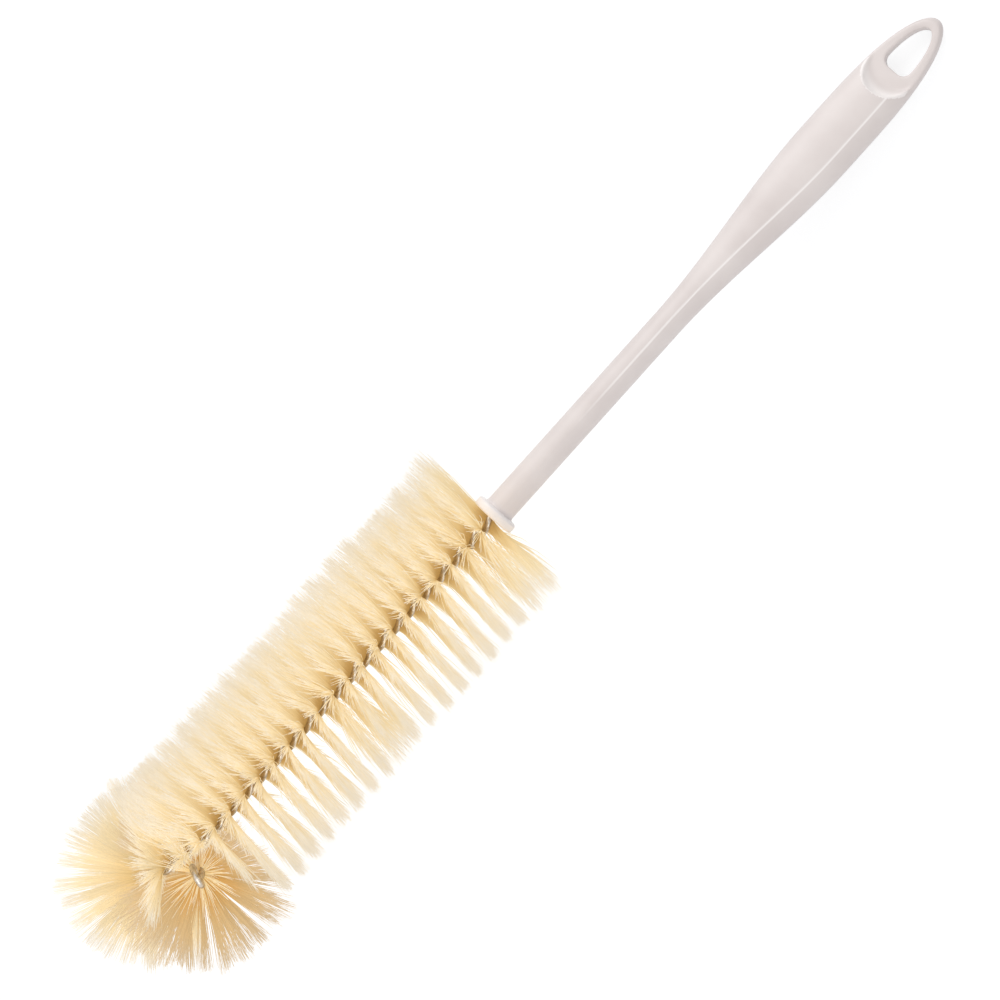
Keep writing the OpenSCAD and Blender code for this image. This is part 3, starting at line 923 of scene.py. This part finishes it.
# the handle: oval sections, a flange at one end and a hanging eye at the other
handle = {
    "length": 0.2132,
    "neckDiameter": 0.010,
    "gripWidth": 0.0206,
    "gripThickness": 0.0132,
    "neckLength": 0.0835,
    "shoulderLength": 0.075,
    "endLength": 0.046,
    "endRoundness": 2.75,     # the more, the squarer the closing end
    "creaseRise": 0.00035,
    "creaseAngle": 57.0,      # degrees up from the grip's side edge
    "creaseNeckAngle": 74.0,
    "creaseSpread": 50.0,
    "creaseEnd": 0.036,       # distance from the flange at which the crease has faded
    "creaseFade": 0.03,       # length over which it fades
    "flangeDiameter": 0.015,
    "flangeThickness": 0.0032,
    "flangeBevel": 0.0009,
    "flangeEdge": 0.0003,     # softening of its edge next to the bristles
    "tabThickness": 0.0042,
    "eyeLength": 0.0175,
    "eyeWidth": 0.0101,
    "eyeEndWall": 0.0043,
    "eyeCorner": 0.0031,
    "scoopRadius": 0.0058,    # of the hollow's rounded foot
    "scoopAhead": 0.0042,     # from the eye to where the hollow starts to rise
    "scoopBend": 0.0095,      # radius of the hollow's edge, seen from above
    "scoopSides": 0.3,        # share of it from which the edge runs straight on
    "boreClearance": 0.00015,
    "boreEndRoom": 0.0006,
    "sides": 120,
    "sectionStep": 0.0005,
    # the first sections of the closing end, in shares of its length, closer where it rounds off
    "closingSections": (0.0005, 0.002, 0.005, 0.01, 0.017, 0.025, 0.035, 0.045, 0.055),
    "voxel": 0.00038,         # of the skin that joins its forms
    "softening": 6,
}
handleEnd = -handle["length"]
eyeFoot = handleEnd + handle["eyeEndWall"] + handle["eyeLength"]
scoopX = eyeFoot + handle["scoopAhead"]
boreRadius = coreRadius + handle["boreClearance"]


def closingAt(x):
    t = np.clip((handleEnd + handle["endLength"] - x) / handle["endLength"], 0, 1)
    return (1 - t ** handle["endRoundness"]) ** 0.5


def wideningAt(x):
    return smoothStep((-x - handle["neckLength"]) / handle["shoulderLength"])


def halfSizes(x):
    # half width and half height of the section at x
    neck, wide, close = handle["neckDiameter"] / 2, wideningAt(x), closingAt(x)
    return (close * (neck + (handle["gripWidth"] / 2 - neck) * wide),
            close * (neck + (handle["gripThickness"] / 2 - neck) * wide))


def creaseAt(x):
    start = handle["creaseNeckAngle"]
    return np.radians(start + (handle["creaseAngle"] - start) * wideningAt(x))


def intoHollow(x, y):
    # 0 on the tab and 1 at the outer edge of the round hollow in front of it
    bend = handle["scoopBend"]
    edge = scoopX - bend + np.sqrt(np.clip(bend**2 - y**2, (handle["scoopSides"] * bend) ** 2, None))
    return (x - edge) / handle["scoopRadius"]


def hollowAt(x, y):
    # height at which the tab and the hollow cut the handle, and beyond them more than it is high
    tab, radius, uncut = handle["tabThickness"] / 2, handle["scoopRadius"], 1.0
    inside = intoHollow(x, y)
    t = np.clip(inside, 0, 1)
    return np.where(inside < 1, tab + radius * (1 - np.sqrt(1 - t**2)), uncut)


def handleSection(x):
    turns = np.linspace(0, 2 * math.pi, handle["sides"], endpoint=False)
    width, height = halfSizes(x)
    angle = creaseAt(x) + turns
    y, z = width * np.cos(angle), height * np.sin(angle)
    off = np.degrees(np.minimum(np.minimum(turns, 2 * math.pi - turns), np.abs(turns - math.pi)))
    rise = handle["creaseRise"] * np.clip(1 - off / handle["creaseSpread"], 0, 1) ** 2 * closingAt(x)
    radial = np.hypot(y, z) + 1e-9
    y, z = y * (1 + rise / radial), z * (1 + rise / radial)
    z = np.sign(z) * np.minimum(np.abs(z), hollowAt(x, y))
    return np.stack([np.full_like(y, x), y, z], axis=1)


def loftMesh(name, rings):
    # a closed solid through rings of equally many points
    count, sides = len(rings), len(rings[0])
    verts = [tuple(p) for ring in rings for p in ring]
    faces = [tuple(range(sides))]
    for k in range(count - 1):
        for i in range(sides):
            j = (i + 1) % sides
            faces.append((k * sides + i, (k + 1) * sides + i, (k + 1) * sides + j, k * sides + j))
    faces.append(tuple(range(count * sides - 1, (count - 1) * sides - 1, -1)))
    return outwardMesh(meshFrom(name, verts, faces))


def flangeMesh():
    # a ring round the bore with softened outer edges
    outer, thick = handle["flangeDiameter"] / 2, handle["flangeThickness"]
    bevel, soft = handle["flangeBevel"], handle["flangeEdge"]
    profile = [(0, boreRadius), (0, outer - soft), (-soft / 3, outer - soft / 3), (-soft, outer)]
    profile += [(-thick + bevel * (1 - math.sin(a)), outer - bevel * (1 - math.cos(a)))
                for a in np.radians([0, 22.5, 45, 67.5, 90])]
    profile += [(-thick, boreRadius)]
    sides, n = handle["sides"], len(profile)
    verts, faces = [], []
    for k in range(sides):
        a = 2 * math.pi * k / sides
        verts += [(x, r * math.cos(a), r * math.sin(a)) for x, r in profile]
        for i in range(n):
            j, nextK = (i + 1) % n, (k + 1) % sides
            faces.append((k * n + i, nextK * n + i, nextK * n + j, k * n + j))
    return outwardMesh(meshFrom("flangeRing", verts, faces))


def boreMesh():
    turns = np.radians(np.arange(0, 360, 7.5))
    circle = [(boreRadius * math.cos(a), boreRadius * math.sin(a)) for a in turns]
    past = 0.001      # how far it stands out of the flange, for a clean cut
    ends = (-wire["tail"] - handle["boreEndRoom"], past)
    return loftMesh("bore", [[(x, y, z) for y, z in circle] for x in ends])


def eyeMesh():
    # a leaf that narrows towards the end of the handle, with a rounded foot
    half, corner, length = handle["eyeWidth"] / 2, handle["eyeCorner"], handle["eyeLength"]

    def point(reach, out, angle, shift=0.0):
        a = math.radians(angle)
        return (eyeFoot - corner + reach * math.cos(a), out * math.sin(a) + shift)

    outline = [point(corner, corner, a, half - corner) for a in range(0, 90, 9)]
    outline += [point(length - corner, half, a) for a in np.arange(90, 271, 4.5)]
    outline += [point(corner, corner, a, corner - half) for a in range(279, 361, 9)]
    through = 0.02
    return loftMesh("eye", [[(x, y, z) for x, y in outline] for z in (-through, through)])


def cutAway(target, mesh):
    cutter = linkMesh(mesh.name, mesh)
    modifier = target.modifiers.new("cut", "BOOLEAN")
    modifier.operation, modifier.solver, modifier.object = "DIFFERENCE", "EXACT", cutter
    target.data = settledMesh(target)
    bpy.data.objects.remove(cutter)


def joinMesh(target, mesh):
    whole = bmesh.new()
    whole.from_mesh(target.data)
    whole.from_mesh(mesh)
    whole.to_mesh(target.data)
    whole.free()


plasticFinish = {
    "colour": (219, 209, 206),      # as it is seen, 0 to 255
    "cloud": (227, 218, 215),
    "paintedHighlight": (255, 250, 248),
    "highlightMost": 0.95,                 # most of it that covers the colour
    "creaseLine": 0.00026,          # half width of the painted highlight along a crease
    "hollowEdge": 1.02,             # where the crease ends and the hollow's rounded foot begins
    "footHighlight": 0.75,               # how much painted highlight that foot gets
    "footFrom": 0.3,                # from this share of its way up
    "footOver": 0.5,                # and fully after this much more
    "tabEdge": 0.0004,              # and only this far above the tab
    "flangeHighlight": 0.6,
    "clouds": 55,                   # in a metre
    "marks": (40, 1800, 1800),      # fine marks from handling run along the grip
    "grain": 2600,
    "roughness": (0.36, 0.46),
    "markRoughness": 0.1,
    "gloss": 0.5,
    "sheen": 0.7,
    "sheenRoughness": 0.35,
    "bump": 0.12,
    "bumpHeight": 0.00004,
}


def markHighlights(mesh):
    # painted highlight: how far each point of the handle is lightened, along the crease, on the hollow's foot
    # and on the flange
    finish = plasticFinish
    co = np.empty(len(mesh.vertices) * 3)
    mesh.vertices.foreach_get("co", co)
    x, y, z = co.reshape(-1, 3).T
    width, height = halfSizes(x)
    angle = np.arctan2(z / (height + 1e-6), y / (width + 1e-6)) - creaseAt(x)
    gap = np.abs(np.arctan(np.tan(angle))) * np.hypot(y, z)
    inside = intoHollow(x, y)
    isHollow = inside < finish["hollowEdge"]
    # painted highlight along the crease
    crease = np.exp(-(gap / finish["creaseLine"]) ** 2)
    crease *= smoothStep((-x - handle["creaseEnd"]) / handle["creaseFade"]) * ~isHollow
    onFoot = isHollow * (np.abs(z) > handle["tabThickness"] / 2 + finish["tabEdge"])
    # painted highlight on the hollow's rounded foot
    foot = finish["footHighlight"] * smoothStep((inside - finish["footFrom"]) / finish["footOver"]) * onFoot
    # painted highlight on the flange
    flange = finish["flangeHighlight"] * (x > -handle["flangeThickness"] - handle["voxel"] / 2)
    paintedHighlight = np.maximum(np.maximum(crease, foot), flange)
    mesh.attributes.new("paintedHighlight", "FLOAT", "POINT").data.foreach_set("value", paintedHighlight)


def plasticMaterial():
    finish = plasticFinish
    material, tree, shader = newMaterial("satinWhitePlastic")
    coord = addNode(tree, "ShaderNodeTexCoord").outputs["Object"]
    stretched = addNode(tree, "ShaderNodeMapping")
    feed(tree, stretched.inputs["Vector"], coord)
    stretched.inputs["Rotation"].default_value = (0, restTilt, 0)
    stretched.inputs["Scale"].default_value = finish["marks"]
    mark = spots(tree, stretched.outputs[0], 1, 3, 0.62, 0.72)
    cloud = spots(tree, coord, finish["clouds"], 3, 0.35, 0.65)
    colour = mixColour(tree, cloud, srgb(*finish["colour"]), srgb(*finish["cloud"]))
    # painted highlights on the crease, the hollow's foot and the flange, towards a near white
    paintedHighlight = addNode(tree, "ShaderNodeAttribute", attribute_name="paintedHighlight").outputs["Fac"]
    colour = mixColour(tree, multiply(tree, paintedHighlight, finish["highlightMost"]), colour, srgb(*finish["paintedHighlight"]))
    feed(tree, shader.inputs["Base Color"], colour)
    rough = mapRange(tree, spots(tree, coord, finish["clouds"], 3, 0.3, 0.7), 0, 1, *finish["roughness"])
    feed(tree, shader.inputs["Roughness"], addUp(tree, rough, multiply(tree, mark, finish["markRoughness"])))
    shader.inputs["Specular IOR Level"].default_value = finish["gloss"]
    shader.inputs["Sheen Weight"].default_value = finish["sheen"]
    shader.inputs["Sheen Roughness"].default_value = finish["sheenRoughness"]
    grain = spots(tree, coord, finish["grain"], 2)
    height = doMath(tree, "SUBTRACT", grain, multiply(tree, mark, 0.6))
    addBump(tree, shader, height, finish["bump"], finish["bumpHeight"])
    return material


def mouldHandle():
    shares = np.array(handle["closingSections"])
    closing = handleEnd + handle["endLength"] * shares[:-1]
    straight = np.arange(handleEnd + handle["endLength"] * shares[-1], -handle["flangeThickness"] / 2,
                         handle["sectionStep"])
    sections = [handleSection(x) for x in np.concatenate([closing, straight])]
    piece = linkMesh("handle_shell", loftMesh("handleBody", sections))
    cutAway(piece, boreMesh())
    cutAway(piece, eyeMesh())
    joinMesh(piece, flangeMesh())
    skin = piece.modifiers.new("skin", "REMESH")
    skin.mode, skin.voxel_size, skin.adaptivity, skin.use_smooth_shade = "VOXEL", handle["voxel"], 0, True
    soft = piece.modifiers.new("soften", "SMOOTH")
    soft.factor, soft.iterations = 0.5, handle["softening"]
    piece.data = settledMesh(piece)
    markHighlights(piece.data)
    piece.data.transform(brushMatrix)
    piece.data.polygons.foreach_set("use_smooth", [True] * len(piece.data.polygons))
    piece.data.update()
    piece.data.materials.clear()
    piece.data.materials.append(plasticMaterial())
    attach(piece, rootBody)
    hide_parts("handle")
    return piece


print("handle moulded: %d faces" % len(mouldHandle().data.polygons))

stage = {
    "floorHalf": 3.0,
    "floorColour": (0.62, 0.63, 0.65, 1),        # as it lights the brush
    "floorSeen": (0.295, 0.3, 0.308, 1),         # as the camera and reflections see it
    "floorGlow": 0.78,                           # which makes up for that
    "worldLight": 0.55,
    "lampSize": 1.2,
    "aim": (0, 0, 0.03),
}
# lamps by name: place and watts
lamps = {"key": ((-0.6, -1.2, 0.9), 14.5), "fill": ((0.6, 1.2, 0.9), 10)}
view = {
    "distance": 1.8,
    "roll": -16.0,            # degrees about the brush's length, from its upper side
    "tilt": 3.2,              # degrees by which the brush's tip is turned away from the camera
    "picture": 1000,          # pixels
    "pixel": 0.00032,         # one of them, at the brush
    "startPixel": (492, 518),
    "along": (-0.6685, -0.7437),      # the brush's length in the picture: right and up
    "sensor": 36,
    "clip": (0.05, 20),
}


def floorMaterial():
    # a matt white sheet
    material, tree, shader = newMaterial("paleFloor")
    shader.inputs["Roughness"].default_value = 0.9
    shader.inputs["Emission Color"].default_value = (1, 1, 1, 1)
    path = addNode(tree, "ShaderNodeLightPath").outputs
    reflected = doMath(tree, "MAXIMUM", path["Is Glossy Ray"], path["Is Transmission Ray"])
    seen = doMath(tree, "MAXIMUM", path["Is Camera Ray"], reflected)
    feed(tree, shader.inputs["Base Color"], mixColour(tree, seen, stage["floorColour"], stage["floorSeen"]))
    feed(tree, shader.inputs["Emission Strength"], multiply(tree, seen, stage["floorGlow"]))
    return material


def layFloor():
    h = stage["floorHalf"]
    floor = linkMesh("floor", meshFrom("floor", [(-h, -h, 0), (h, -h, 0), (h, h, 0), (-h, h, 0)],
                                       [(0, 1, 2, 3)], False))
    floor.data.materials.append(floorMaterial())


def setCamera():
    camera = bpy.data.objects.new("camera", bpy.data.cameras.new("camera"))
    bpy.context.scene.collection.objects.link(camera)
    bpy.context.scene.camera = camera
    turn, tilt = math.radians(view["roll"]), math.radians(view["tilt"])
    square = (upDir * math.cos(turn) - levelDir * math.sin(turn)).normalized()
    side = square.cross(alongDir).normalized()      # the brush's right in the picture
    back = square * math.cos(tilt) - alongDir * math.sin(tilt)
    flat = alongDir * math.cos(tilt) + square * math.sin(tilt)
    alongX, alongY = view["along"]
    right = (flat * alongX - side * alongY).normalized()
    up = back.cross(right)
    startX, startY = view["startPixel"]
    centre = view["picture"] / 2
    middle = startPoint + (right * (centre - startX) + up * (startY - centre)) * view["pixel"]
    camera.location = middle + back * view["distance"]
    camera.rotation_mode = "QUATERNION"
    camera.rotation_quaternion = Matrix((right, up, back)).transposed().to_quaternion()
    camera.data.sensor_width = view["sensor"]
    camera.data.lens = view["sensor"] * view["distance"] / (view["picture"] * view["pixel"])
    camera.data.clip_start, camera.data.clip_end = view["clip"]


def addLamp(name, place, watts):
    lamp = bpy.data.objects.new(name, bpy.data.lights.new(name, "AREA"))
    lamp.data.size = stage["lampSize"]
    lamp.data.energy = watts
    bpy.context.scene.collection.objects.link(lamp)
    lamp.location = place
    lamp.rotation_mode = "QUATERNION"
    lamp.rotation_quaternion = (Vector(place) - Vector(stage["aim"])).to_track_quat("Z", "Y")


def lightWorld():
    # soft light from all round, seen as white
    world = bpy.data.worlds.new("studio")
    bpy.context.scene.world = world
    world.use_nodes = True
    tree = world.node_tree
    background = tree.nodes["Background"]
    background.inputs["Color"].default_value = (1, 1, 1, 1)
    path = addNode(tree, "ShaderNodeLightPath").outputs
    seen = doMath(tree, "MAXIMUM", path["Is Camera Ray"], path["Is Glossy Ray"])
    added = multiply(tree, seen, 1 - stage["worldLight"])
    feed(tree, background.inputs["Strength"], addUp(tree, stage["worldLight"], added))


layFloor()
setCamera()
for name, (place, watts) in lamps.items():
    addLamp(name, place, watts)
lightWorld()
bpy.context.scene.view_settings.view_transform = "Standard"
print("stage, camera and lamps set")
